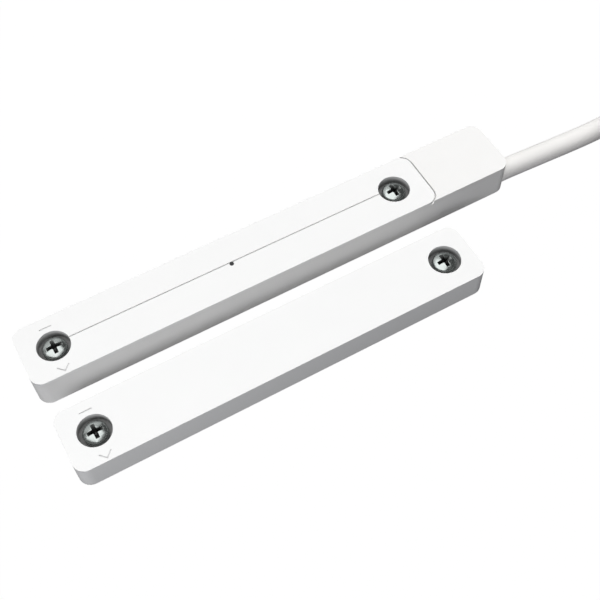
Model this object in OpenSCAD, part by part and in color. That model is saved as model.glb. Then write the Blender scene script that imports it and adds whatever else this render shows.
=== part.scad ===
// Surface-mount door contact: a wired reed sensor half and a magnet half.
// Millimetres. +X runs along both bars towards the cable, +Y from the magnet half to the sensor half,
// +Z out of the mounting surface. The origin is midway between the sensor half's two screws, at its back.

/* [Sensor half] */
// Distance between the two screws of each half
screw_pitch = 73; // [70:0.5:80]
// Length of the lid, from the plain end to the seam
lid_length = 85.85; // [84:0.05:88]
// Length of the sensor half, cable block included
sensor_length = 103.2; // [101:0.1:110]
// Width of the sensor half
sensor_width = 13; // [12.6:0.1:14]
// Height of the sensor half above the mounting surface
sensor_height = 7.5; // [7.3:0.1:9]
// From the plain end to the first screw
screw_inset = 6.3; // [5.8:0.1:7]
// Thickness of the lid
lid_thickness = 0.8; // [0.6:0.05:1]
// Open seam between the lid and the cable block
seam_gap = 0.3; // [0.2:0.05:0.4]

/* [Magnet half] */
// Length of the magnet half
magnet_length = 84.8; // [84:0.1:90]
// Width of the magnet half
magnet_width = 12.9; // [12.6:0.1:14]
// Height of the magnet half above the mounting surface
magnet_height = 6.2; // [6.1:0.1:7]
// Gap between the two halves with the door closed
closed_gap = 5.7; // [3:0.1:10]

/* [Housings] */
// Radius of the upright corners of both halves
corner_radius = 2.4; // [1.5:0.1:2.6]
// Thickness of the housing walls
wall = 1.2; // [1:0.05:1.3]
// Thickness of the sensor half's floor
floor_thickness = 1; // [0.8:0.05:1.2]
// Radius of the round well that a screw head sinks into
well_radius = 3.2; // [3:0.05:3.3]
// Radius of the screw holes
hole_radius = 1.45; // [1.4:0.05:1.6]

/* [Screws] */
// Radius of the pan head
head_radius = 2.35; // [2.2:0.05:2.5]
// Height of the pan head
head_height = 1.9; // [1.6:0.05:2]
// From the housing's top face down to the top of the screw head
head_sink = 0.1; // [0.05:0.05:0.4]
// Radius of the plain neck under the head
neck_radius = 1.1; // [1:0.05:1.2]
// Length of the plain neck
neck_length = 5.8; // [5.8:0.1:6.5]
// Radius of the shank over its thread
shank_radius = 1.25; // [1.25:0.05:1.35]
// Length of the screw below its head
screw_length = 13; // [10:0.5:16]

/* [Cable] */
// Outer diameter of the cable
cable_d = 4.4; // [4.2:0.1:4.4]
// Diameter of one insulated core
core_d = 1.1; // [0.9:0.05:1.2]

/* [Reed switch] */
// Length of the glass envelope
glass_length = 16; // [14:0.5:18]
// Radius of the glass envelope
glass_radius = 1.15; // [1:0.05:1.2]
// Overlap of the two blades
blade_overlap = 1.2; // [0.8:0.1:1.6]
// Gap between the closed blades
blade_gap = 0.04; // [0.03:0.01:0.06]

/* [Hidden] */
$fn = 64;
eps = 0.01;

WHITE = [0.95, 0.95, 0.945];
BLOCK_WHITE = [0.93, 0.925, 0.915];
CABLE_WHITE = [0.9, 0.89, 0.88];
ZINC = [0.72, 0.74, 0.73];
TIN = [0.8, 0.8, 0.78];
RED = [0.75, 0.08, 0.06];
BLACK = [0.04, 0.04, 0.045];
YELLOW = [0.9, 0.75, 0.1];
BLUE = [0.08, 0.2, 0.6];

// Sensor half
half_pitch = screw_pitch / 2;
screw_xs = [-half_pitch, half_pitch];
sensor_x0 = -half_pitch - screw_inset;
sensor_x1 = sensor_x0 + sensor_length;
sensor_y = sensor_width / 2;
lid_x1 = sensor_x0 + lid_length;
lid_z = sensor_height - lid_thickness;
inner_y = sensor_y - wall;
sensor_seat_z = sensor_height - head_sink - head_height;
cup_radius = well_radius + 0.7;
cup_floor = 1.2;
boss_radius = 3;
block_roof = 1.2;
block_end_wall = 4.4;
hollow_x1 = sensor_x1 - block_end_wall;
lid_ledge = 1.5;

// Marks on the top faces
groove_y = 0.38;
mark_width = 0.25;
groove_depth = 0.2;
mark_depth = 0.15;
dot_radius = 0.45;
dot_depth = 0.3;
dash_length = 2.4;
dash_y = 4.3;
chevron_y = -5.85;
chevron_arm = 1.75;

// Magnet half
magnet_x = magnet_length / 2;
magnet_yc = -sensor_y - closed_gap - magnet_width / 2;
magnet_seat_z = magnet_height - head_sink - head_height;
plate_thickness = 1;
plate_gap = 0.05;
magnet_bar = [40, 7, 3.5];
foam_thickness = 0.5;

// Circuit board and reed switch
board_x0 = -20;
board_x1 = 31;
board_y = 4;
board_z = 1.8;
board_thickness = 1;
board_top = board_z + board_thickness;
peg_radius = 0.6;
peg_xs = [-17, 17];
peg_y = 2.8;
reed_y = -2;
reed_z = 4.3;
lead_radius = 0.25;
lead_x = 12.2;
seal_length = 1.6;
blade_width = 1.1;
blade_thickness = 0.2;
blade_root_x = glass_length / 2 - seal_length;
blade_root_gap = 0.05;
pad_xs = [29, 26, 23, 20];
pad_y = -3.2;
pad_radius = 0.75;
tip_radius = 0.25;

// Cable exit in the end wall, and the jacket's end inside
cable_r = cable_d / 2;
cable_bore_radius = cable_r + 0.05;
exit_y = -3.85;
exit_z = 2.75;
stub_x0 = 46.5;
wedge_x0 = 45;
wedge_x1 = 54;
wedge_width = 4.2;
wedge_lift = 0.9;

// The cable's free run, from the exit along the surface and in a slight bend onto the coil
LEAD_ROUTE = [
    [60.4, -3.85, 2.75], [61.5, -3.86, 2.74], [65, -3.95, 2.66], [69, -4.06, 2.55], [73, -4.17, 2.43],
    [77, -4.28, 2.32], [81, -4.36, 2.23], [85, -4.37, 2.2], [89, -4.15, 2.2], [92, -3.45, 2.2],
    [95, -2.35, 2.2], [98, -1.25, 2.2], [101, -0.55, 2.2], [104, -0.35, 2.2], [107, -0.35, 2.2]
];

// Coil: three turns side by side in four layers and two turns on top, wound clockwise from its north point
coil_columns = 3;
coil_layers = 5;
coil_inner_turn = 4 * cable_d;
coil_outer_turn = coil_inner_turn + (coil_columns - 1) * cable_d;
coil_x = 107;
coil_y = -0.35 - coil_outer_turn;
coil_r0 = coil_inner_turn - cable_r;
coil_r1 = coil_outer_turn + cable_r;
coil_height = coil_layers * cable_d;
jacket_end_turn = 215;
tail_room_turn = 120;
tie_turn = 60;
tie_width = 2.6;
tie_band = 0.8;
tie_squeeze = 0.6;

// Inner wires from the cable's end to their pads, stacked one above the other beside the screw well
WIRE_Y = -4.75;
WIRE_ROUTES = [
    [[46.5, -4.4, 3.3], [45.7, -4.4, 3.3], [44.5, -4.5, 4], [42.5, -4.7, 4.9], [40, WIRE_Y, 5.3],
        [33, WIRE_Y, 5.3], [31, -4.6, 5.2], [29.8, -4.1, 4.8], [29.2, -3.5, 4.3], [29, -3.2, 3.85]],
    [[46.5, -3.3, 3.3], [45.7, -3.3, 3.3], [44.5, -3.5, 3.4], [42.5, -4.1, 3.8], [40, WIRE_Y, 4.1],
        [30, WIRE_Y, 4.1], [28, -4.65, 4.1], [26.8, -4.2, 4.2], [26.2, -3.6, 4.1], [26, -3.2, 3.85]],
    [[46.5, -4.4, 2.2], [45.7, -4.4, 2.2], [44.5, -4.55, 1.8], [42.5, -4.7, 1.65], [40, WIRE_Y, 1.6],
        [24, WIRE_Y, 1.7], [22.3, WIRE_Y, 2.4], [21, -4.6, 3.6], [20.3, -3.9, 4.1], [20, -3.2, 3.85]],
    [[46.5, -3.3, 2.2], [45.7, -3.3, 2.2], [44.5, -3.45, 2.3], [42.5, -4.1, 2.7], [40, WIRE_Y, 2.9],
        [27, WIRE_Y, 2.9], [25, -4.7, 3.2], [23.8, -4.3, 3.9], [23.2, -3.6, 4.1], [23, -3.2, 3.85]]
];

// Stripped cores on top of the coil: turn angle, radius and height of the bundle's middle at each ring
CORE_ROUTE = [
    [215, 19.8, 19.8], [221, 19.7, 19.8], [233, 19.3, 19.4], [245, 18.9, 19],
    [259, 18.4, 18.85], [275, 18, 18.85], [293, 17.8, 18.85]
];
// Place of each core in the bundle, outwards and upwards, and the turn angle where its insulation ends
CORE_OFFSETS = [[-0.62, 0.62], [0.62, 0.62], [-0.62, -0.62], [0.62, -0.62]];
CORE_ENDS = [317, 309, 303, 321];
CORE_TIP_TURN = 14;
core_end_spread = 1.5;
core_tip_radius = 0.3;

// Plain shapes

// Flat rounded rectangle between two corners
module rounded_rect(x0, x1, y0, y1, r) {
    translate([x0 + r, y0]) square([x1 - x0 - 2 * r, y1 - y0]);
    translate([x0, y0 + r]) square([x1 - x0, y1 - y0 - 2 * r]);
    for (x = [x0 + r, x1 - r], y = [y0 + r, y1 - r])
        translate([x, y]) circle(r);
}

// Upright block with rounded corners
module rounded_block(x0, x1, y0, y1, z0, z1, r) {
    translate([0, 0, z0])
        linear_extrude(z1 - z0)
            rounded_rect(x0, x1, y0, y1, r);
}

// Plain block between two corners
module block(x0, x1, y0, y1, z0, z1) {
    translate([x0, y0, z0])
        cube([x1 - x0, y1 - y0, z1 - z0]);
}

// Upright cylinder between two heights
module post(x, y, z0, z1, r) {
    translate([x, y, z0])
        cylinder(h = z1 - z0, r = r);
}

// Cylinder along X
module rod_x(x0, x1, y, z, r) {
    translate([x0, y, z])
        rotate([0, 90, 0])
            cylinder(h = x1 - x0, r = r);
}

// Cutter for the dash and the chevron beside a half's first screw
module screw_marks(x, y, top) {
    block(x - dash_length / 2, x + dash_length / 2, y + dash_y - mark_width / 2,
        y + dash_y + mark_width / 2, top - mark_depth, top + 1);
    for (turn = [45, 135])
        translate([x, y + chevron_y, top - mark_depth])
            rotate([0, 0, turn])
                translate([-mark_width / 2, -mark_width / 2, 0])
                    cube([chevron_arm, mark_width, 1]);
}

// Swept tubes

function unit(v) = v / norm(v);
function heading(p, i) = unit(p[min(i + 1, len(p) - 1)] - p[max(i - 1, 0)]);
function ring_points(centre, along, r, sides, up) =
    let (side = unit(cross(up, along)), over = cross(along, side))
    [for (k = [0 : sides - 1])
        centre + r * (cos(360 * k / sides) * side + sin(360 * k / sides) * over)];
function tube_points(p, r, sides, up) =
    [for (i = [0 : len(p) - 1], q = ring_points(p[i], heading(p, i), r, sides, up)) q];
function tube_faces(rings, sides) = concat(
    [[for (k = [0 : sides - 1]) k]],
    [for (i = [0 : rings - 2], k = [0 : sides - 1])
        let (n = (k + 1) % sides, a = i * sides, b = a + sides)
        [a + k, b + k, b + n, a + n]],
    [[for (k = [sides - 1 : -1 : 0]) (rings - 1) * sides + k]]
);
module tube(p, r, sides = 8, up = [0, 0, 1]) {
    polyhedron(tube_points(p, r, sides, up), tube_faces(len(p), sides));
}

// Point on the coil, where the turn angle runs clockwise from north
function on_coil(turn, r, z) = [coil_x + r * sin(turn), coil_y + r * cos(turn), z];

// Sensor half

module sensor_case() {
    color(BLOCK_WHITE) difference() {
        union() {
            difference() {
                rounded_block(sensor_x0, sensor_x1, -sensor_y, sensor_y, 0, sensor_height, corner_radius);
                lid_room();
                block(sensor_x0 + wall, lid_x1 - lid_ledge, -inner_y, inner_y, floor_thickness,
                    sensor_height);
                block(sensor_x0 + wall, hollow_x1, -inner_y, inner_y, floor_thickness,
                    sensor_height - block_roof);
            }
            for (x = screw_xs)
                post(x, 0, floor_thickness - eps, sensor_seat_z - cup_floor, boss_radius);
            for (x = peg_xs) {
                block(x - 1, x + 1, -board_y, board_y, floor_thickness - eps, board_z);
                post(x, peg_y, board_z - eps, board_top + 0.4, peg_radius);
            }
        }
        for (x = screw_xs)
            post(x, 0, -1, sensor_height, hole_radius);
        rod_x(stub_x0, sensor_x1 + 1, exit_y, exit_z, cable_bore_radius);
    }
}

// Space that the lid drops into, with its seam along the rounded end of the lid
module lid_room() {
    turn_x = lid_x1 - corner_radius;
    turn_y = sensor_y - corner_radius;
    translate([0, 0, lid_z])
        linear_extrude(lid_thickness + 1) {
            translate([sensor_x0 - 1, -sensor_y - 1])
                square([turn_x - sensor_x0 + 1, sensor_width + 2]);
            translate([turn_x - 1, -turn_y])
                square([corner_radius + seam_gap + 1, 2 * turn_y]);
            for (y = [-turn_y, turn_y])
                translate([turn_x, y])
                    circle(corner_radius + seam_gap);
        }
}

module sensor_lid() {
    color(WHITE) difference() {
        union() {
            rounded_block(sensor_x0, lid_x1, -sensor_y, sensor_y, lid_z, sensor_height, corner_radius);
            for (x = screw_xs)
                post(x, 0, sensor_seat_z - cup_floor, lid_z + eps, cup_radius);
            lid_lip();
        }
        for (x = screw_xs) {
            post(x, 0, sensor_seat_z, sensor_height + 1, well_radius);
            post(x, 0, 0, sensor_height, hole_radius);
        }
        block(-half_pitch, half_pitch, groove_y - mark_width / 2, groove_y + mark_width / 2,
            sensor_height - groove_depth, sensor_height + 1);
        post(0, 0, sensor_height - dot_depth, sensor_height + 1, dot_radius);
        screw_marks(-half_pitch, 0, sensor_height);
    }
}

// Rim under the lid that keeps it in place between the case's walls
module lid_lip() {
    lip_gap = 0.05;
    lip_width = 0.45;
    lip_depth = 0.8;
    lip_x0 = sensor_x0 + wall + lip_gap;
    lip_y = inner_y - lip_gap;
    lip_x1 = half_pitch - cup_radius;
    difference() {
        block(lip_x0, lip_x1, -lip_y, lip_y, lid_z - lip_depth, lid_z + eps);
        block(lip_x0 + lip_width, lip_x1 + 1, lip_width - lip_y, lip_y - lip_width, 0, lid_z);
    }
}

module index_dot() {
    color(BLACK)
        post(0, 0, sensor_height - dot_depth, sensor_height - 0.02, dot_radius);
}

// One self-tapping pan head screw, with its head's underside at the origin
module screw() {
    tip_length = 2.6;
    dome = 0.85;
    flat_share = 0.55;
    difference() {
        rotate_extrude()
            polygon(concat(
                [[0, -screw_length], [shank_radius, tip_length - screw_length], [shank_radius, -neck_length],
                    [neck_radius, -neck_length], [neck_radius, 0], [head_radius, 0],
                    [head_radius, head_height - dome]],
                [for (a = [15 : 15 : 90])
                    [head_radius * (flat_share + (1 - flat_share) * cos(a)), head_height + dome * (sin(a) - 1)]],
                [[0, head_height]]
            ));
        for (turn = [0, 90])
            rotate([0, 0, turn])
                recess_slot();
    }
}

// One slot of the cross recess, whose floor slopes down towards the screw's middle
module recess_slot() {
    depth = 1.3;
    width = 0.75;
    reach = 1.75;
    middle = 0.45;
    rise = 0.3;
    intersection() {
        block(-reach - rise, reach + rise, -width / 2, width / 2, head_height - depth, head_height + rise);
        translate([0, 0, head_height - depth])
            cylinder(h = depth + rise, r1 = middle, r2 = middle + (reach - middle) * (depth + rise) / depth);
    }
}

module sensor_screws() {
    color(ZINC)
        for (x = screw_xs)
            translate([x, 0, sensor_seat_z])
                screw();
}

// Electronics

module circuit_board() {
    color([0.05, 0.32, 0.16]) difference() {
        block(board_x0, board_x1, -board_y, board_y, board_z, board_top);
        for (x = peg_xs)
            post(x, peg_y, 0, board_top + 1, peg_radius + 0.05);
        for (x = [-lead_x, lead_x])
            post(x, reed_y, 0, board_top + 1, lead_radius + 0.1);
        for (x = pad_xs)
            post(x, pad_y, 0, board_top + 1, tip_radius + 0.1);
    }
}

// Solder fillet standing on the board round a pin of radius r
module fillet(x, y, r) {
    translate([x, y, board_top])
        difference() {
            cylinder(h = 0.4, r1 = pad_radius, r2 = r + 0.12);
            translate([0, 0, -1])
                cylinder(h = 3, r = r);
        }
}

module solder_joints() {
    color(TIN) {
        for (x = [-lead_x, lead_x])
            fillet(x, reed_y, lead_radius);
        for (x = pad_xs)
            fillet(x, pad_y, tip_radius);
    }
}

module reed_glass() {
    half = glass_length / 2;
    end_round = 0.5;
    bore = glass_radius - 0.3;
    color([0.75, 0.9, 0.85, 0.4])
        translate([0, reed_y, reed_z])
            rotate([0, 90, 0])
                rotate_extrude()
                    polygon([
                        [lead_radius, -half], [glass_radius - end_round, -half],
                        [glass_radius, end_round - half], [glass_radius, half - end_round],
                        [glass_radius - end_round, half], [lead_radius, half],
                        [lead_radius, blade_root_x], [bore, blade_root_x],
                        [bore, -blade_root_x], [lead_radius, -blade_root_x]
                    ]);
}

// Lead of the reed switch, out through the seal and down through the board; side is -1 or 1
module reed_lead(side) {
    color(TIN) {
        translate([side * blade_root_x, reed_y, reed_z])
            rotate([0, side * 90, 0])
                cylinder(h = lead_x - blade_root_x, r = lead_radius);
        translate([side * lead_x, reed_y, reed_z])
            sphere(lead_radius);
        post(side * lead_x, reed_y, board_z - 0.4, reed_z, lead_radius);
    }
}
module reed_lead_left() { reed_lead(-1); }
module reed_lead_right() { reed_lead(1); }

// Springy blade inside the glass, from its root to just past the middle
module reed_blade(side) {
    z = reed_z + side * (blade_gap + blade_thickness) / 2;
    root = blade_root_x - blade_root_gap;
    color([0.6, 0.6, 0.58])
        translate([side * (root - blade_overlap / 2) / 2, reed_y, z])
            cube([root + blade_overlap / 2, blade_width, blade_thickness], center = true);
}
module reed_blade_left() { reed_blade(-1); }
module reed_blade_right() { reed_blade(1); }

module wire(k, shade) {
    color(shade)
        tube(WIRE_ROUTES[k], core_d / 2 - 0.05, 8, [0, 0.3, 1]);
}
module wire_red() { wire(0, RED); }
module wire_black() { wire(1, BLACK); }
module wire_yellow() { wire(2, YELLOW); }
module wire_blue() { wire(3, BLUE); }

// Bare ends of the inner wires, down through the board
module wire_tips() {
    color(TIN)
        for (x = pad_xs)
            post(x, pad_y, board_z - 0.4, board_top + 0.5, tip_radius);
}

// Cable end inside the case

module cable_stub() {
    color(CABLE_WHITE)
        rod_x(stub_x0, sensor_x1, exit_y, exit_z, cable_r);
}

// Wedge pushed in over the jacket, which holds the cable against a pull
module cable_wedge() {
    color(WHITE) difference() {
        block(wedge_x0, wedge_x1, max(-inner_y, exit_y - wedge_width / 2), exit_y + wedge_width / 2,
            exit_z + wedge_lift, sensor_height - block_roof);
        rod_x(wedge_x0 - 1, wedge_x1 + 1, exit_y, exit_z, cable_r);
    }
}

// Magnet half

module magnet_housing() {
    inner_x = magnet_x - wall;
    half_width = magnet_width / 2;
    inner_half = half_width - wall;
    color(WHITE) translate([0, magnet_yc, 0]) difference() {
        union() {
            difference() {
                rounded_block(-magnet_x, magnet_x, -half_width, half_width, 0, magnet_height, corner_radius);
                rounded_block(-inner_x, inner_x, -inner_half, inner_half, -1,
                    magnet_height - wall, corner_radius - wall);
            }
            for (x = screw_xs)
                post(x, 0, plate_thickness, magnet_height - wall + eps, cup_radius);
            for (x = [-magnet_bar[0] / 2 - 1, magnet_bar[0] / 2])
                block(x, x + 1, -inner_half - eps, inner_half + eps, plate_thickness,
                    magnet_height - wall + eps);
        }
        for (x = screw_xs) {
            post(x, 0, magnet_seat_z, magnet_height + 1, well_radius);
            post(x, 0, -1, magnet_height, hole_radius);
        }
        screw_marks(-half_pitch, 0, magnet_height);
    }
}

module magnet_back_plate() {
    inner_x = magnet_x - wall - plate_gap;
    inner_half = magnet_width / 2 - wall - plate_gap;
    color(WHITE) translate([0, magnet_yc, 0]) difference() {
        rounded_block(-inner_x, inner_x, -inner_half, inner_half, 0, plate_thickness,
            corner_radius - wall - plate_gap);
        for (x = screw_xs)
            post(x, 0, -1, plate_thickness + 1, hole_radius);
    }
}

module magnet_foam_pad() {
    color([0.25, 0.25, 0.27])
        translate([0, magnet_yc, 0])
            block(-magnet_bar[0] / 2 + 1, magnet_bar[0] / 2 - 1, -magnet_bar[1] / 2, magnet_bar[1] / 2,
                plate_thickness, plate_thickness + foam_thickness);
}

module bar_magnet() {
    z0 = plate_thickness + foam_thickness;
    color([0.22, 0.22, 0.24])
        translate([0, magnet_yc, 0])
            block(-magnet_bar[0] / 2, magnet_bar[0] / 2, -magnet_bar[1] / 2, magnet_bar[1] / 2,
                z0, z0 + magnet_bar[2]);
}

module magnet_screws() {
    color(ZINC)
        for (x = screw_xs)
            translate([x, magnet_yc, magnet_seat_z])
                screw();
}

// Free cable

module cable_lead() {
    color(CABLE_WHITE)
        tube(LEAD_ROUTE, cable_r, 12);
}

// Outer shape of the coil, with room on top inside the last turn, where it ends and the bare cores lie
module cable_coil() {
    color(CABLE_WHITE)
        translate([coil_x, coil_y, 0])
            difference() {
                rotate_extrude($fn = 96)
                    translate([coil_r0, 0])
                        square([coil_r1 - coil_r0, coil_height]);
                rotate_extrude($fn = 96)
                    translate([coil_r0 - 1, coil_height - cable_d])
                        square([cable_d + 1, cable_d + 1]);
                rotate([0, 0, 90 - jacket_end_turn - tail_room_turn])
                    rotate_extrude(angle = tail_room_turn, $fn = 96)
                        translate([coil_r0 - 1, coil_height - cable_d])
                            square([1.5 * cable_d + 1, cable_d + 1]);
            }
}

// Band round the coil, drawn tight, with its locking head on the outside
module coil_tie() {
    inner = [coil_r1 - coil_r0 - 2 * tie_squeeze, coil_height - tie_band - tie_squeeze];
    outside = inner[0] / 2 + tie_band;
    head = [3.2, 4.6, 4.2];
    head_z = 4;
    color([0.88, 0.88, 0.86])
        translate([coil_x, coil_y, 0])
            rotate([0, 0, 90 - tie_turn])
                translate([(coil_r0 + coil_r1) / 2, 0, 0]) {
                    translate([0, tie_width / 2, 0])
                        rotate([90, 0, 0])
                            linear_extrude(tie_width)
                                difference() {
                                    rounded_rect(-outside, outside, 0, inner[1] + 2 * tie_band, 1);
                                    rounded_rect(-inner[0] / 2, inner[0] / 2, tie_band, inner[1] + tie_band, 0.4);
                                }
                    block(outside - eps, outside + head[0], -head[1] / 2, head[1] / 2, head_z, head_z + head[2]);
                }
}

// Stripped core k, which leaves the jacket in a bundle with the others and spreads a little at its end
function core_ring(k, p, spread) =
    on_coil(p[0], p[1] + spread * CORE_OFFSETS[k][0], p[2] + CORE_OFFSETS[k][1]);
function core_path(k) =
    let (last = CORE_ROUTE[len(CORE_ROUTE) - 1])
    concat(
        [for (p = CORE_ROUTE) core_ring(k, p, 1)],
        [core_ring(k, [CORE_ENDS[k], last[1], last[2]], core_end_spread)]
    );
module core(k, shade) {
    color(shade)
        tube(core_path(k), core_d / 2, 8);
}
module core_red() { core(0, RED); }
module core_black() { core(1, BLACK); }
module core_yellow() { core(2, YELLOW); }
module core_blue() { core(3, BLUE); }

// Bare, tinned ends of the four cores
module core_tips() {
    last = CORE_ROUTE[len(CORE_ROUTE) - 1];
    color(TIN)
        for (k = [0 : 3])
            tube([for (turn = [0.3, CORE_TIP_TURN / 2, CORE_TIP_TURN])
                core_ring(k, [CORE_ENDS[k] + turn, last[1], last[2]], core_end_spread)], core_tip_radius, 8);
}

sensor_case();
sensor_lid();
index_dot();
sensor_screws();
circuit_board();
solder_joints();
reed_glass();
reed_lead_left();
reed_lead_right();
reed_blade_left();
reed_blade_right();
wire_red();
wire_black();
wire_yellow();
wire_blue();
wire_tips();
cable_stub();
cable_wedge();
magnet_housing();
magnet_back_plate();
bar_magnet();
magnet_foam_pad();
magnet_screws();
cable_lead();
cable_coil();
coil_tie();
core_red();
core_black();
core_yellow();
core_blue();
core_tips();
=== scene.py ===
from math import atan2, cos, floor, pi, radians, sin, tau

import bmesh
import bpy
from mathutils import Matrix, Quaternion, Vector


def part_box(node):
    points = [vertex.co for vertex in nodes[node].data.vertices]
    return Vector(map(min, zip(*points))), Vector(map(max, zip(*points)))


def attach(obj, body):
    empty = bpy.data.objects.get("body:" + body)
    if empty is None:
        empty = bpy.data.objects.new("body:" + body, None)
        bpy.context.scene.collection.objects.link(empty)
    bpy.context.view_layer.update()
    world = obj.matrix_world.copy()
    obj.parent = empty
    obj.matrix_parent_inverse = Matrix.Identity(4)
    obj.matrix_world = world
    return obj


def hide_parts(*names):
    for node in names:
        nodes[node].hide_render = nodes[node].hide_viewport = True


# Door contact: the looks of a wired reed sensor half and its magnet half, in metres.
# +X runs along both halves towards the cable, +Y from the magnet half to the sensor half, +Z up.
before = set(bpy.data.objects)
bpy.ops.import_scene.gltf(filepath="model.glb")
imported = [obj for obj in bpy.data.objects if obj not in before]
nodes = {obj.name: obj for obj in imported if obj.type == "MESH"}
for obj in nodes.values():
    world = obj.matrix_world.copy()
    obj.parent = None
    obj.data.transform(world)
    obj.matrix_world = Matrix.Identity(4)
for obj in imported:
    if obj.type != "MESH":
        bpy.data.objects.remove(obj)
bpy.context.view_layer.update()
scene = bpy.context.scene

# ---------------------------------------------------------------- camera

CAMERA_AT = (-0.03798, -0.10077, 0.16502)
LOOKS_AT = (0.00956, -0.00947, 0)
CAMERA_ROLL = radians(-1.78)
LENS_MM = 59.6
SENSOR_MM = 36


def add_camera():
    data = bpy.data.cameras.new("camera")
    data.lens = LENS_MM
    data.sensor_width = SENSOR_MM
    data.clip_start = 0.01
    data.clip_end = 50
    camera = bpy.data.objects.new("camera", data)
    scene.collection.objects.link(camera)
    camera.location = CAMERA_AT
    facing = (Vector(LOOKS_AT) - Vector(CAMERA_AT)).to_track_quat("-Z", "Y")
    camera.rotation_mode = "QUATERNION"
    camera.rotation_quaternion = facing @ Quaternion((0, 0, 1), CAMERA_ROLL)
    scene.camera = camera


add_camera()

# ---------------------------------------------------------------- shapes


def smooth(t):
    """0 before t = 0, 1 after t = 1, with an even ease between."""
    t = min(max(t, 0), 1)
    return t * t * (3 - 2 * t)


def mix(a, b, t):
    return a + (b - a) * t


def add_object(name, data):
    piece = bpy.data.objects.new(name, data)
    scene.collection.objects.link(piece)
    return piece


def add_curve(name, lines, radius, sides, steps):
    """Round tubes along lines of points, as one curve object."""
    data = bpy.data.curves.new(name, "CURVE")
    data.dimensions = "3D"
    # The thickness is set at the points, as the curve's bounds grow by the radius given there
    data.bevel_depth = 1
    data.bevel_resolution = sides
    data.resolution_u = steps
    data.use_fill_caps = True
    for points in lines:
        spline = data.splines.new("BEZIER")
        spline.bezier_points.add(len(points) - 1)
        for knot, point in zip(spline.bezier_points, points):
            knot.co = point
            knot.radius = radius
            knot.handle_left_type = "AUTO"
            knot.handle_right_type = "AUTO"
    return add_object(name, data)


def grid_mesh(bm, rings):
    """Closed skin over rings of points; each ring is a loop of the same length."""
    rows = [[bm.verts.new(point) for point in ring] for ring in rings]
    count = len(rows[0])
    for low, high in zip(rows, rows[1:]):
        for k in range(count):
            n = (k + 1) % count
            bm.faces.new((low[k], low[n], high[n], high[k]))
    bm.faces.new(reversed(rows[0]))
    bm.faces.new(rows[-1])


def add_block(bm, low, high):
    """A closed box between two corners, inside a mesh that is being built."""
    ring = [(low.x, low.y), (high.x, low.y), (high.x, high.y), (low.x, high.y)]
    grid_mesh(bm, [[Vector((x, y, z)) for x, y in ring] for z in (low.z, high.z)])


def mesh_from(bm, name):
    bmesh.ops.recalc_face_normals(bm, faces=bm.faces)
    mesh = bpy.data.meshes.new(name)
    bm.to_mesh(mesh)
    bm.free()
    return mesh


def evaluated_mesh(piece, name):
    """The piece's mesh with its modifiers applied."""
    graph = bpy.context.evaluated_depsgraph_get()
    mesh = bpy.data.meshes.new_from_object(piece.evaluated_get(graph))
    mesh.name = name
    return mesh


# ---------------------------------------------------------------- cable

CABLE_D = 0.0044
CORE_D = 0.0011
CABLE_EXIT = (0.0604, -0.00385, 0.00275)
LEAD_ROUTE = [
    CABLE_EXIT, (0.0615, -0.00386, 0.00274), (0.065, -0.00395, 0.00266), (0.069, -0.00406, 0.00255),
    (0.073, -0.00417, 0.00243), (0.077, -0.00428, 0.00232), (0.081, -0.00436, 0.00223),
    (0.085, -0.00437, 0.0022), (0.089, -0.00415, 0.0022), (0.092, -0.00345, 0.0022),
    (0.095, -0.00235, 0.0022), (0.098, -0.00125, 0.0022), (0.101, -0.00055, 0.0022),
    (0.104, -0.00035, 0.0022),
]
COLUMNS = 3
LAYERS = 5
TURNS = 14
JACKET_END_TURN = 215
POINTS_A_TURN = 24
# Between these turn angles all turns move over to the next column or layer together
SHIFT_START = 100
SHIFT_END = 330
CLIMB_BULGE = 0.25 * CABLE_D
# The tie draws the turns together up to TIE_REACH degrees to each side of it
TIE_TURN = 60
TIE_REACH = 24
TIE_BAND = 0.0008
TIE_SQUEEZE = 0.0006

coil_low, coil_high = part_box("cable_coil")
coil_middle = (coil_low + coil_high) / 2
outer_turn = (coil_high.x - coil_low.x) / 2 - CABLE_D / 2
inner_turn = outer_turn - (COLUMNS - 1) * CABLE_D
bundle_middle = (outer_turn + inner_turn) / 2
bundle_width = COLUMNS * CABLE_D
bundle_height = LAYERS * CABLE_D
tied_width = bundle_width - 2 * TIE_SQUEEZE
tied_height = bundle_height - TIE_BAND - TIE_SQUEEZE


def on_coil(turn, radius, height):
    """A point on the coil; the turn angle, in degrees, runs clockwise from north."""
    angle = radians(turn)
    return (coil_middle.x + radius * sin(angle), coil_middle.y + radius * cos(angle), height)


def tied(turn, radius, height):
    """The same point, drawn together where the tie holds the bundle."""
    off = abs((turn - TIE_TURN + 180) % 360 - 180)
    hold = 1 - smooth(off / TIE_REACH)
    tied_radius = bundle_middle + (radius - bundle_middle) * tied_width / bundle_width
    raised = TIE_BAND + height * tied_height / bundle_height
    radius = mix(radius, tied_radius, hold)
    height = mix(height, raised, hold)
    return on_coil(turn, radius, height)


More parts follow.
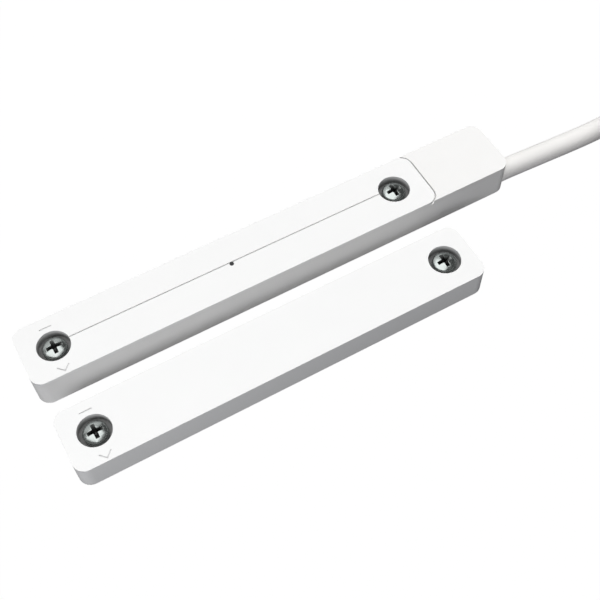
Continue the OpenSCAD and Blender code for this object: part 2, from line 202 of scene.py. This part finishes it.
def coil_route():
    """Turns side by side in each layer, inwards and outwards by turns, up to the jacket's end."""
    radii = [outer_turn - k * CABLE_D for k in range(COLUMNS)]
    heights = [(k + 0.5) * CABLE_D for k in range(LAYERS)]
    places = [(r, z) for k, z in enumerate(heights) for r in (radii if k % 2 == 0 else radii[::-1])]
    points = []
    for k in range(TURNS):
        radius, height = places[k]
        then_radius, then_height = places[k + 1]
        # A turn that climbs gives way to its neighbours, away from the bundle
        bulge = 0
        if then_height > height:
            bulge = CLIMB_BULGE if radius > bundle_middle else -CLIMB_BULGE
        turns = [n * 360 / POINTS_A_TURN for n in range(POINTS_A_TURN)]
        if k == TURNS - 1:
            turns = [turn for turn in turns if turn < JACKET_END_TURN] + [JACKET_END_TURN]
        for turn in turns:
            share = (turn - SHIFT_START) / (SHIFT_END - SHIFT_START)
            shift = smooth(share)
            away = bulge * sin(pi * min(max(share, 0), 1)) ** 2
            points.append(tied(turn, mix(radius, then_radius, shift) + away,
                               mix(height, then_height, shift)))
    return points


def add_cable():
    cable = add_curve("cable", [LEAD_ROUTE + coil_route()], CABLE_D / 2, sides=8, steps=5)
    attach(cable, "sensor_half")
    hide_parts("cable_lead", "cable_coil")
    return cable


cable = add_cable()

# Stripped cores, on the coil past the jacket's end: turn angle, radius and height of their bundle
CORE_ROUTE = [
    (215, 0.0198, 0.0198), (221, 0.0197, 0.0198), (233, 0.0193, 0.0194), (245, 0.0189, 0.019),
    (259, 0.0184, 0.01885), (275, 0.018, 0.01885), (293, 0.0178, 0.01885),
]
# Name, place in the bundle (outwards and upwards), and the turn angle where the insulation ends
CORES = [
    ("red", (-0.00062, 0.00062), 317), ("black", (0.00062, 0.00062), 309),
    ("yellow", (-0.00062, -0.00062), 303), ("blue", (0.00062, -0.00062), 321),
]
CORE_END_SPREAD = 1.5
# A bare end is TIP_TURN degrees long; its outer strands are laid round a straight one
TIP_TURN = 14
OUTER_STRANDS = 6
STRAND_RADIUS = 0.0001
LAY_RADIUS = 0.0002
LAY_TURNS = 1.5
STRAND_STEPS = 12


def core_point(turn, radius, height, place, spread=1):
    return on_coil(turn, radius + spread * place[0], height + spread * place[1])


def strand_route(end, place, strand):
    """One strand of the core whose insulation ends at that turn angle."""
    _, radius, height = CORE_ROUTE[-1]
    lay = 0 if strand == OUTER_STRANDS else LAY_RADIUS
    points = []
    for n in range(STRAND_STEPS + 1):
        share = n / STRAND_STEPS
        around = tau * (strand / OUTER_STRANDS + LAY_TURNS * share)
        twist = (place[0] * CORE_END_SPREAD + lay * cos(around),
                 place[1] * CORE_END_SPREAD + lay * sin(around))
        points.append(core_point(end - 1 + (TIP_TURN + 1) * share, radius, height, twist))
    return points


def add_cores():
    made = []
    _, radius, height = CORE_ROUTE[-1]
    lines = []
    for name, place, end in CORES:
        route = [core_point(*ring, place) for ring in CORE_ROUTE]
        route.append(core_point(end, radius, height, place, CORE_END_SPREAD))
        core = add_curve("core_" + name + "_insulation", [route], CORE_D / 2, sides=6, steps=8)
        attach(core, "sensor_half")
        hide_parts("core_" + name)
        made.append(core)
        lines += [strand_route(end, place, strand) for strand in range(OUTER_STRANDS + 1)]
    tips = add_curve("core_strands", lines, STRAND_RADIUS, sides=2, steps=2)
    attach(tips, "sensor_half")
    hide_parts("core_tips")
    return made, tips


cores, strands = add_cores()

# ---------------------------------------------------------------- coil tie

TIE_WIDTH = 0.0026
TIE_CORNER = 0.0004
TIE_RIB = 0.00055
TIE_RIB_DEPTH = 0.00012
# Along each side the band is lower by the drop, up to TIE_EDGE, and has its ribs from TIE_SLOPE on
TIE_EDGE_DROP = 0.00015
TIE_EDGE = 0.0004
TIE_SLOPE = 0.00055
LOCK_SIZE = Vector((0.0033, 0.0044, 0.0036))
LOCK_HEIGHT = 0.0041
LOCK_SINKS = 0.0002
LOCK_BEVEL = 0.0004
# The cut tail and the pawl stand on the locking head: place along it and over its bottom, and size
TAIL_PLACE = (0.0011, 0.0034)
TAIL_SIZE = Vector((TIE_BAND, TIE_WIDTH, 0.0006))
PAWL_PLACE = (0.0021, 0.0033)
PAWL_SIZE = Vector((0.0005, 0.0016, 0.0005))
ARC_STEPS = 6


def rounded_path(width, bottom, top, corner, step):
    """Points and outward directions round an upright rectangle with rounded corners."""
    centres = [(width / 2 - corner, bottom + corner, -90), (width / 2 - corner, top - corner, 0),
               (-width / 2 + corner, top - corner, 90), (-width / 2 + corner, bottom + corner, 180)]
    path = []
    for k, (x, z, start) in enumerate(centres):
        for n in range(ARC_STEPS + 1):
            angle = radians(start + 90 * n / ARC_STEPS)
            out = Vector((cos(angle), 0, sin(angle)))
            path.append((Vector((x, 0, z)) + corner * out, out))
        next_x, next_z, next_start = centres[(k + 1) % 4]
        angle = radians(next_start)
        goal = Vector((next_x + corner * cos(angle), 0, next_z + corner * sin(angle)))
        here, out = path[-1]
        count = max(2, round((goal - here).length / step))
        path += [(here.lerp(goal, n / count), out) for n in range(1, count)]
    return path


def tie_band_mesh():
    """The ribbed band round the bundle."""
    path = rounded_path(tied_width, TIE_BAND, TIE_BAND + tied_height, TIE_CORNER, TIE_RIB / 2)
    half = TIE_WIDTH / 2
    bm = bmesh.new()
    rows = []
    for k, (inner, out) in enumerate(path):
        rib = TIE_RIB_DEPTH if k % 2 else 0
        outer = inner + (TIE_BAND - rib) * out
        edge = inner + (TIE_BAND - TIE_EDGE_DROP) * out
        side = [(inner, -half), (edge, -half), (edge, -half + TIE_EDGE), (outer, -half + TIE_SLOPE)]
        section = side + [(point, -across) for point, across in reversed(side)]
        rows.append([bm.verts.new(point + Vector((0, across, 0))) for point, across in section])
    for k, row in enumerate(rows):
        then = rows[(k + 1) % len(rows)]
        for a in range(len(row)):
            b = (a + 1) % len(row)
            bm.faces.new((row[a], row[b], then[b], then[a]))
    return mesh_from(bm, "tie_strap")


def tie_head_mesh():
    """The locking head outside the bundle, with the cut tail and the pawl on its top."""
    bm = bmesh.new()
    low = Vector((tied_width / 2 + TIE_BAND - LOCK_SINKS, -LOCK_SIZE.y / 2, LOCK_HEIGHT))
    add_block(bm, low, low + LOCK_SIZE)
    bmesh.ops.bevel(bm, geom=bm.edges[:], offset=LOCK_BEVEL, segments=3, affect="EDGES", profile=0.5)
    for (along, up), size in ((TAIL_PLACE, TAIL_SIZE), (PAWL_PLACE, PAWL_SIZE)):
        corner = low + Vector((along, (LOCK_SIZE.y - size.y) / 2, up))
        add_block(bm, corner, corner + size)
    return mesh_from(bm, "tie_head")


def add_tie():
    """A nylon tie round the bundle."""
    tie = add_object("tie_strap", tie_band_mesh())
    head = add_object("tie_head", tie_head_mesh())
    for piece in (tie, head):
        piece.location = on_coil(TIE_TURN, bundle_middle, 0)
        piece.rotation_euler = (0, 0, radians(90 - TIE_TURN))
        for face in piece.data.polygons:
            face.use_smooth = False
        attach(piece, "sensor_half")
    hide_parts("coil_tie")
    return tie, head


tie_strap, tie_head = add_tie()

# ---------------------------------------------------------------- screws

HEAD_RADIUS = 0.00235
HEAD_HEIGHT = 0.0019
HEAD_DOME = 0.00095
HEAD_SHOULDER = 0.0005
CAP_RADIUS = ((HEAD_RADIUS ** 2 + HEAD_DOME ** 2 - 2 * HEAD_RADIUS * HEAD_SHOULDER)
              / (2 * (HEAD_DOME - HEAD_SHOULDER)))
NECK_RADIUS = 0.0011
NECK_LENGTH = 0.0058
THREAD_RADIUS = 0.00125
THREAD_CORE = 0.0009
THREAD_PITCH = 0.0011
# Half of a ridge's foot, as a share of the pitch, and the length over which the thread begins
THREAD_FOOT = 0.24
THREAD_START = 0.0004
THREAD_RINGS = 120
SCREW_LENGTH = 0.013
TIP_LENGTH = 0.0026
SCREW_SEGMENTS = 64
HEAD_EDGE = 0.00012
NECK_TOP = 0.0006
NECK_FILLET = 0.0001
SHOULDER_RINGS = 8
CAP_RINGS = 16
# The cross recess narrows to a foot at its depth and to a point below it
RECESS_DEPTH = 0.0013
RECESS_REACH = 0.00175
RECESS_WIDTH = 0.00085
RECESS_CHAMFER = 0.00014
RECESS_EDGE = 0.00006
FOOT_REACH = 0.00045
FOOT_WIDTH = 0.00056
FOOT_CHAMFER = 0.00005
POINT_REACH = 0.0002
POINT_WIDTH = 0.0003
POINT_CHAMFER = 0.00003
POINT_BELOW = 0.00015
CUTTER_RISE = 0.0003


def thread_radius(angle, z):
    """Radius of the threaded shank; z is 0 under the head and negative towards the tip."""
    phase = z / THREAD_PITCH - angle / tau
    phase -= floor(phase)
    ridge = max(0, 1 - abs(phase - 0.5) / THREAD_FOOT)
    tip = min(1, (z + SCREW_LENGTH) / TIP_LENGTH)
    start = smooth((-NECK_LENGTH - z) / THREAD_START)
    core = mix(NECK_RADIUS, THREAD_CORE, start) * tip
    # The ridge gets lower along the tip and ends in its last half
    fade = min(1, 2 * tip) * mix(0.4, 1, tip)
    return core + (THREAD_RADIUS - THREAD_CORE) * ridge * start * fade


def screw_rings():
    """Rings of the whole screw from its tip to the top of its head, where z is HEAD_HEIGHT."""
    angles = [tau * k / SCREW_SEGMENTS for k in range(SCREW_SEGMENTS)]

    def ring(z, radius):
        return [Vector((radius(a) * cos(a), radius(a) * sin(a), z)) for a in angles]

    depth = SCREW_LENGTH - NECK_LENGTH
    rings = []
    for k in range(1, THREAD_RINGS + 1):
        z = -SCREW_LENGTH + depth * k / THREAD_RINGS
        rings.append(ring(z, lambda a: thread_radius(a, z)))
    edge = HEAD_EDGE
    outline = [(NECK_RADIUS, -NECK_TOP), (NECK_RADIUS, -NECK_FILLET), (NECK_RADIUS + NECK_FILLET, 0),
               (HEAD_RADIUS - edge, 0), (HEAD_RADIUS - edge / 3, edge / 3), (HEAD_RADIUS, edge)]
    # Shallow cap, run into the upright side by a rounded shoulder
    cap = CAP_RADIUS
    meet = atan2(HEAD_RADIUS - HEAD_SHOULDER, cap - HEAD_DOME)
    for k in range(SHOULDER_RINGS + 1):
        lean = mix(pi / 2, meet, k / SHOULDER_RINGS)
        outline.append((HEAD_RADIUS - HEAD_SHOULDER * (1 - sin(lean)),
                        HEAD_HEIGHT - HEAD_DOME + HEAD_SHOULDER * cos(lean)))
    for k in range(1, CAP_RINGS):
        lean = meet * (1 - k / CAP_RINGS)
        outline.append((cap * sin(lean), HEAD_HEIGHT - cap * (1 - cos(lean))))
    return rings + [ring(z, lambda a: radius) for radius, z in outline]


def cross_outline(reach, width, chamfer, z):
    """A cross recess's outline at one height, with its inner corners cut."""
    half = width / 2
    arm = [(reach, -half), (reach, half), (half + chamfer, half), (half, half + chamfer)]
    points = []
    for k in range(4):
        turn = k * pi / 2
        points += [Vector((x * cos(turn) - y * sin(turn), x * sin(turn) + y * cos(turn), z)) for x, y in arm]
    return points


def screw_mesh():
    """A pan head screw with its cross recess cut in, made once and shared by all four."""
    bm = bmesh.new()
    grid_mesh(bm, screw_rings())
    body = add_object("screw_body", mesh_from(bm, "screw_body"))
    bm = bmesh.new()
    foot = HEAD_HEIGHT - RECESS_DEPTH
    slope = (RECESS_REACH - FOOT_REACH) / RECESS_DEPTH
    grid_mesh(bm, [
        cross_outline(POINT_REACH, POINT_WIDTH, POINT_CHAMFER, foot - POINT_BELOW),
        cross_outline(FOOT_REACH, FOOT_WIDTH, FOOT_CHAMFER, foot),
        cross_outline(RECESS_REACH + slope * CUTTER_RISE, RECESS_WIDTH, RECESS_CHAMFER,
                      HEAD_HEIGHT + CUTTER_RISE),
    ])
    cutter = add_object("recess_cutter", mesh_from(bm, "recess_cutter"))
    cut = body.modifiers.new("recess", "BOOLEAN")
    cut.operation = "DIFFERENCE"
    cut.solver = "EXACT"
    cut.object = cutter
    bevel = body.modifiers.new("edges", "BEVEL")
    bevel.width = 0.00004
    bevel.segments = 2
    bevel.limit_method = "ANGLE"
    bevel.angle_limit = radians(38)
    mesh = evaluated_mesh(body, "screw")
    for face in mesh.polygons:
        face.use_smooth = True
    mesh.set_sharp_from_angle(angle=radians(35))
    bpy.data.objects.remove(body)
    bpy.data.objects.remove(cutter)
    return mesh


def add_screws():
    mesh = screw_mesh()
    made = []
    for node, body in (("sensor_screws", "sensor_half"), ("magnet_screws", "magnet_half")):
        low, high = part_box(node)
        for side, x in (("left", low.x + HEAD_RADIUS), ("right", high.x - HEAD_RADIUS)):
            screw = add_object(node[:-1] + "_" + side, mesh)
            screw.location = (x, (low.y + high.y) / 2, high.z - HEAD_HEIGHT)
            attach(screw, body)
            made.append(screw)
        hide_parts(node)
    return made


screws = add_screws()

# ---------------------------------------------------------------- softened CAD nodes

SHELL_EDGE = 0.00008
INNER_EDGE = 0.00005
WELD_DISTANCE = 0.000001


def soften(name, width):
    """Tiny rounded edges on a moulded or stamped CAD node, so that they catch light."""
    weld = nodes[name].modifiers.new("weld", "WELD")
    weld.merge_threshold = WELD_DISTANCE
    bevel = nodes[name].modifiers.new("edges", "BEVEL")
    bevel.width = width
    bevel.segments = 2
    bevel.limit_method = "ANGLE"
    bevel.angle_limit = radians(40)
    normals = nodes[name].modifiers.new("normals", "WEIGHTED_NORMAL")
    normals.keep_sharp = True


def round_off(name):
    """Smooth tubes from the plain sides of a CAD wire."""
    weld = nodes[name].modifiers.new("weld", "WELD")
    weld.merge_threshold = WELD_DISTANCE
    subdivision = nodes[name].modifiers.new("smooth", "SUBSURF")
    subdivision.levels = 2
    subdivision.render_levels = 2


for node_name in ("sensor_case", "sensor_lid", "magnet_housing"):
    soften(node_name, SHELL_EDGE)
for node_name in ("magnet_back_plate", "bar_magnet", "magnet_foam_pad", "circuit_board", "cable_wedge"):
    soften(node_name, INNER_EDGE)
for node_name in ("wire_red", "wire_black", "wire_yellow", "wire_blue"):
    round_off(node_name)

# ---------------------------------------------------------------- materials


class Shader:
    """A Principled material that is built up with a few node helpers."""

    def __init__(self, name, roughness, **constants):
        self.material = bpy.data.materials.new(name)
        self.material.use_nodes = True
        self.tree = self.material.node_tree
        self.bsdf = self.tree.nodes["Principled BSDF"]
        self.bsdf.inputs["Roughness"].default_value = roughness
        for socket, value in constants.items():
            self.bsdf.inputs[socket.replace("_", " ")].default_value = value
        self.place = self.tree.nodes.new("ShaderNodeTexCoord").outputs["Object"]

    def node(self, kind, **settings):
        made = self.tree.nodes.new(kind)
        for key, value in settings.items():
            setattr(made, key, value)
        return made

    def link(self, source, target):
        self.tree.links.new(source, target)

    def math(self, operation, a, b=0.0, clamp=False):
        """One arithmetic step; a and b are numbers or sockets."""
        made = self.node("ShaderNodeMath", operation=operation, use_clamp=clamp)
        for socket, value in zip(made.inputs, (a, b)):
            if isinstance(value, (int, float)):
                socket.default_value = value
            else:
                self.link(value, socket)
        return made.outputs[0]

    def ramp(self, value, low, high, to_low, to_high):
        """value from low..high, mapped smoothly to to_low..to_high."""
        made = self.node("ShaderNodeMapRange", interpolation_type="SMOOTHSTEP")
        self.link(value, made.inputs["Value"])
        limits = {"From Min": low, "From Max": high, "To Min": to_low, "To Max": to_high}
        for socket, number in limits.items():
            made.inputs[socket].default_value = number
        return made.outputs["Result"]

    def noise(self, size, detail=3.0, stretch=(1, 1, 1)):
        """Noise with features of about that size in metres."""
        mapping = self.node("ShaderNodeMapping")
        mapping.inputs["Scale"].default_value = [s / size for s in stretch]
        self.link(self.place, mapping.inputs["Vector"])
        made = self.node("ShaderNodeTexNoise")
        made.inputs["Scale"].default_value = 1
        made.inputs["Detail"].default_value = detail
        self.link(mapping.outputs[0], made.inputs["Vector"])
        return made.outputs["Fac"]

    def blend(self, share, low, high):
        """Colour between two, by a share from 0 to 1."""
        made = self.node("ShaderNodeMix", data_type="RGBA")
        self.link(share, made.inputs["Factor"])
        for socket, value in ((made.inputs[6], low), (made.inputs[7], high)):
            if hasattr(value, "default_value"):
                self.link(value, socket)
            else:
                socket.default_value = (*value, 1)
        return made.outputs[2]

    def fade(self, share, a, b):
        """Number between the sockets a and b, by a share from 0 to 1."""
        made = self.node("ShaderNodeMix", data_type="FLOAT")
        self.link(share, made.inputs["Factor"])
        self.link(a, made.inputs[2])
        self.link(b, made.inputs[3])
        return made.outputs[0]

    def parts(self):
        """The object's own x, y and z at the shaded point."""
        split = self.node("ShaderNodeSeparateXYZ")
        self.link(self.place, split.inputs[0])
        return split.outputs

    def base(self):
        """The socket that the colour comes from so far."""
        return self.bsdf.inputs["Base Color"].links[0].from_socket

    def colour(self, source):
        self.link(source, self.bsdf.inputs["Base Color"])

    def roughness(self, source):
        self.link(source, self.bsdf.inputs["Roughness"])

    def bump(self, height, depth, strength=0.5):
        """Relief of the given depth in metres."""
        made = self.node("ShaderNodeBump")
        made.inputs["Strength"].default_value = strength
        made.inputs["Distance"].default_value = depth
        self.link(height, made.inputs["Height"])
        self.link(made.outputs[0], self.bsdf.inputs["Normal"])


def paint(shader, *targets):
    for target in targets:
        data = nodes[target].data if isinstance(target, str) else target.data
        data.materials.clear()
        data.materials.append(shader.material)


LID_LIGHT = (0.86, 0.86, 0.855)
LID_DARK = (0.84, 0.84, 0.835)
CASE_LIGHT = (0.845, 0.84, 0.83)
CASE_DARK = (0.825, 0.82, 0.81)
WELL_RADIUS = 0.0032
WELL_DEPTH = 0.0014
# Painted shade in the screw wells: colour scale at the rim and at WELL_DEPTH below the top
WELL_PAINTED_SHADES = (0.75, 0.28)
MARK_REACH = 0.0062
MARK_DEPTH = 0.0004
# Painted shade in the sunk marks near the middle: how much darker they are
MARK_PAINTED_SHADE = 0.22
# A surface counts as sunk from this far below the top, so that the top itself never does
WELL_SLACK = 0.00003
MARK_SLACK = 0.00005
SCREW_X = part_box("sensor_screws")[1].x - HEAD_RADIUS


def moulded(name, light, dark):
    """Fine-grained white moulded plastic."""
    shader = Shader(name, 0.42, Specular_IOR_Level=0.35)
    shader.colour(shader.blend(shader.noise(0.006, 4), dark, light))
    shader.roughness(shader.ramp(shader.noise(0.0015), 0.3, 0.7, 0.37, 0.48))
    shader.bump(shader.noise(0.00022, 2), 0.000012, 0.35)
    return shader


def housing(name, node):
    """Moulded plastic with painted shade in its sunk marks and, round its two screws, painted shade in the
    wells that darkens with depth.
    """
    shader = moulded(name, LID_LIGHT, LID_DARK)
    low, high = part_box(node)
    x, y, z = shader.parts()
    along = shader.math("SUBTRACT", shader.math("ABSOLUTE", x), SCREW_X)
    across = shader.math("SUBTRACT", y, (low.y + high.y) / 2)
    squares = shader.math("ADD", shader.math("POWER", along, 2.0), shader.math("POWER", across, 2.0))
    reach = shader.math("SQRT", squares)
    sunk = shader.math("SUBTRACT", high.z, z)
    in_well = shader.math("LESS_THAN", reach, WELL_RADIUS + WELL_SLACK)
    in_well = shader.math("MULTIPLY", in_well, shader.math("GREATER_THAN", sunk, WELL_SLACK))
    # Painted shade: the well colour darkens with depth below the top
    painted_well_shade = shader.ramp(sunk, 0.0, WELL_DEPTH, *WELL_PAINTED_SHADES)
    # Painted shade: surfaces sunk less than MARK_DEPTH below the top near the middle are darkened
    in_mark = shader.math("GREATER_THAN", sunk, MARK_SLACK)
    in_mark = shader.math("MULTIPLY", in_mark, shader.math("LESS_THAN", sunk, MARK_DEPTH))
    near_middle = shader.math("LESS_THAN", shader.math("ABSOLUTE", across), MARK_REACH)
    in_mark = shader.math("MULTIPLY", in_mark, near_middle)
    painted_mark_shade = shader.math("SUBTRACT", 1.0, shader.math("MULTIPLY", in_mark, MARK_PAINTED_SHADE))
    scaled = shader.node("ShaderNodeVectorMath", operation="SCALE")
    shader.link(shader.base(), scaled.inputs[0])
    shader.link(shader.fade(in_well, painted_mark_shade, painted_well_shade), scaled.inputs["Scale"])
    shader.colour(scaled.outputs[0])
    return shader


paint(housing("lid_plastic", "sensor_lid"), "sensor_lid")
paint(housing("magnet_plastic", "magnet_housing"), "magnet_housing", "magnet_back_plate")
paint(moulded("case_plastic", CASE_LIGHT, CASE_DARK), "sensor_case", "cable_wedge")


def jacket():
    """Soft satin PVC with a faint drawn grain."""
    shader = Shader("cable_jacket", 0.42, Specular_IOR_Level=0.4)
    shader.colour(shader.blend(shader.noise(0.004), (0.8, 0.785, 0.765), (0.84, 0.83, 0.815)))
    shader.roughness(shader.ramp(shader.noise(0.001), 0.3, 0.7, 0.36, 0.5))
    shader.bump(shader.noise(0.0006, 2), 0.00003, 0.3)
    return shader


paint(jacket(), cable, "cable_stub")


def insulation(name, light, dark):
    shader = Shader("insulation_" + name, 0.35)
    shader.colour(shader.blend(shader.noise(0.002), dark, light))
    shader.bump(shader.noise(0.0004), 0.00001, 0.3)
    return shader


CORE_COLOURS = {
    "red": ((0.62, 0.03, 0.02), (0.5, 0.02, 0.015)),
    "black": ((0.02, 0.02, 0.022), (0.012, 0.012, 0.013)),
    "yellow": ((0.8, 0.58, 0.03), (0.7, 0.48, 0.02)),
    "blue": ((0.02, 0.08, 0.42), (0.015, 0.06, 0.33)),
}
for (core_name, _, _), core in zip(CORES, cores):
    paint(insulation(core_name, *CORE_COLOURS[core_name]), core, "wire_" + core_name)


def metal(name, light, dark, roughness, grain=0.0012, relief=0.00001):
    """Metal with a cloudy tone and slightly uneven polish."""
    shader = Shader(name, roughness, Metallic=1.0)
    shader.colour(shader.blend(shader.noise(grain, 3), dark, light))
    shader.roughness(shader.ramp(shader.noise(grain / 2, 3), 0.3, 0.75, roughness - 0.05, roughness + 0.08))
    shader.bump(shader.noise(grain, 1), relief, 0.3)
    return shader


def recess():
    """Zinc in the cross recess, duller, with painted shade that darkens it to near black with depth."""
    shader = metal("zinc_recess_painted_shade", (0.5, 0.52, 0.51), (0.38, 0.4, 0.39), 0.35)
    height = shader.parts()[2]
    shallow = shader.ramp(height, HEAD_HEIGHT - 0.8 * RECESS_DEPTH, HEAD_HEIGHT, 0.0, 1.0)
    # Painted shade: the colour goes to near black deeper in the recess
    shader.colour(shader.blend(shallow, (0.03, 0.03, 0.03), shader.base()))
    return shader


def in_recess(point):
    """Whether a point of the screw lies below the cap that its head would have uncut."""
    away = point.xy.length
    surface = HEAD_HEIGHT - away * away / (2 * CAP_RADIUS)
    return away < HEAD_RADIUS - HEAD_SHOULDER and surface - RECESS_EDGE > point.z > 0


paint(metal("zinc", (0.52, 0.55, 0.54), (0.36, 0.39, 0.38), 0.24), screws[0])
# Faces in the cross recess get the zinc with painted shade
screws[0].data.materials.append(recess().material)
for face in screws[0].data.polygons:
    face.material_index = int(in_recess(face.center))
paint(metal("tin", (0.78, 0.78, 0.76), (0.6, 0.6, 0.58), 0.3), strands, "wire_tips", "solder_joints",
      "reed_lead_left", "reed_lead_right")
paint(metal("blade", (0.6, 0.59, 0.56), (0.5, 0.49, 0.47), 0.25), "reed_blade_left", "reed_blade_right")
paint(metal("magnet", (0.2, 0.2, 0.21), (0.13, 0.13, 0.14), 0.5, 0.0008, 0.00004), "bar_magnet")


def nylon():
    shader = Shader("nylon", 0.4, Subsurface_Weight=0.15, Subsurface_Scale=0.001)
    shader.colour(shader.blend(shader.noise(0.003), (0.78, 0.78, 0.74), (0.83, 0.83, 0.8)))
    shader.bump(shader.noise(0.0003), 0.00001, 0.3)
    return shader


paint(nylon(), tie_strap, tie_head)


def ink():
    shader = Shader("ink", 0.5)
    shader.colour(shader.blend(shader.noise(0.0003), (0.008, 0.008, 0.009), (0.02, 0.02, 0.022)))
    shader.bump(shader.noise(0.0002), 0.00002, 0.4)
    return shader


paint(ink(), "index_dot")


def foam():
    shader = Shader("foam", 0.95)
    shader.colour(shader.blend(shader.noise(0.0006, 5), (0.03, 0.03, 0.032), (0.09, 0.09, 0.095)))
    shader.bump(shader.noise(0.0004, 4), 0.0001, 0.8)
    return shader


paint(foam(), "magnet_foam_pad")


def glass():
    shader = Shader("reed_glass", 0.04, Transmission_Weight=1.0, IOR=1.5)
    shader.colour(shader.blend(shader.noise(0.002), (0.78, 0.92, 0.84), (0.86, 0.96, 0.9)))
    return shader


paint(glass(), "reed_glass")


def circuit_board():
    """Green solder mask over faint tracks that run along the board."""
    shader = Shader("circuit_board", 0.35)
    tracks = shader.node("ShaderNodeTexWave", wave_type="BANDS", bands_direction="Y")
    tracks.inputs["Scale"].default_value = 260
    tracks.inputs["Distortion"].default_value = 0.4
    shader.link(shader.place, tracks.inputs["Vector"])
    line = shader.ramp(tracks.outputs["Fac"], 0.75, 0.8, 0.0, 1.0)
    shader.colour(shader.blend(line, (0.015, 0.14, 0.06), (0.03, 0.24, 0.1)))
    shader.bump(line, 0.00003, 0.5)
    return shader


paint(circuit_board(), "circuit_board")

# ---------------------------------------------------------------- stage and light

FLOOR_HALF = 20
# The floors lie a hair below the mounting plane, the seen one lowest
FLOOR_Z = -0.00002
BOUNCE_Z = -0.00001
REFLECTOR_X = (-0.9, 0.6)
REFLECTOR_Y = 0.9
REFLECTOR_Z = (0.1, 0.9)


def add_sheet(name, corners, material):
    """A flat sheet of the stage."""
    bm = bmesh.new()
    bm.faces.new([bm.verts.new(corner) for corner in corners])
    sheet = add_object(name, mesh_from(bm, name))
    sheet.data.materials.append(material)
    return sheet


def add_floor(name, z, material):
    half = FLOOR_HALF
    corners = [(-half, -half, z), (half, -half, z), (half, half, z), (-half, half, z)]
    return add_sheet(name, corners, material)


def pale(name, colour, emission):
    """A dull sheet that glows white."""
    shader = Shader(name, 0.9, Specular_IOR_Level=0.0, Emission_Strength=emission)
    shader.bsdf.inputs["Base Color"].default_value = (*colour, 1)
    shader.bsdf.inputs["Emission Color"].default_value = (1, 1, 1, 1)
    return shader.material


def bounce_card():
    """Throws back more light from between the two halves than from in front of them."""
    shader = Shader("floor_bounce", 0.9, Specular_IOR_Level=0.0)
    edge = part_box("magnet_housing")[1].y
    behind = shader.ramp(shader.parts()[1], edge - 0.001, edge, 0.0, 1.0)
    shader.colour(shader.blend(behind, (0.1, 0.1, 0.11), (0.2, 0.2, 0.21)))
    return shader.material


def add_stage():
    """A white floor that the camera sees, and a dimmer one that only throws light back."""
    floor_seen = add_floor("floor", FLOOR_Z, pale("floor", (0.2, 0.2, 0.2), 1))
    floor_seen.visible_diffuse = False
    floor_seen.visible_glossy = False
    floor_seen.visible_shadow = False
    bounce = add_floor("floor_bounce", BOUNCE_Z, bounce_card())
    bounce.visible_camera = False


def add_area(name, at, aim, size, power, glossy=True):
    data = bpy.data.lights.new(name, "AREA")
    data.shape = "RECTANGLE"
    data.size, data.size_y = size
    data.energy = power
    light = add_object(name, data)
    light.location = at
    light.rotation_euler = (Vector(aim) - Vector(at)).to_track_quat("-Z", "Y").to_euler()
    light.visible_glossy = glossy
    return light


def add_reflector():
    """A bright sheet behind the parts that only shiny surfaces see."""
    left, right = REFLECTOR_X
    low, high = REFLECTOR_Z
    y = REFLECTOR_Y
    sheet = add_sheet("reflector", [(left, y, low), (right, y, low), (right, y, high), (left, y, high)],
                      pale("reflector", (0, 0, 0), 0.8))
    sheet.visible_camera = False
    sheet.visible_diffuse = False
    sheet.visible_shadow = False


def add_lights():
    add_area("overhead", (-0.1, 0.15, 0.8), (0, 0, 0), (1, 1), 5.8)
    front = add_area("front_left", (-0.19, -0.22, 0.15), (0, 0, 0), (0.15, 0.15), 0.45, glossy=False)
    front.data.color = (0.97, 0.98, 1)
    add_area("right_fill", (0.25, 0.1, 0.25), (0.02, 0, 0), (0.12, 0.12), 0.5, glossy=False)
    world = bpy.data.worlds.new("world")
    scene.world = world
    world.use_nodes = True
    world.node_tree.nodes["Background"].inputs["Color"].default_value = (1, 1, 1, 1)
    world.node_tree.nodes["Background"].inputs["Strength"].default_value = 0.1
    scene.view_settings.view_transform = "Standard"
    scene.view_settings.look = "None"


add_stage()
add_reflector()
add_lights()
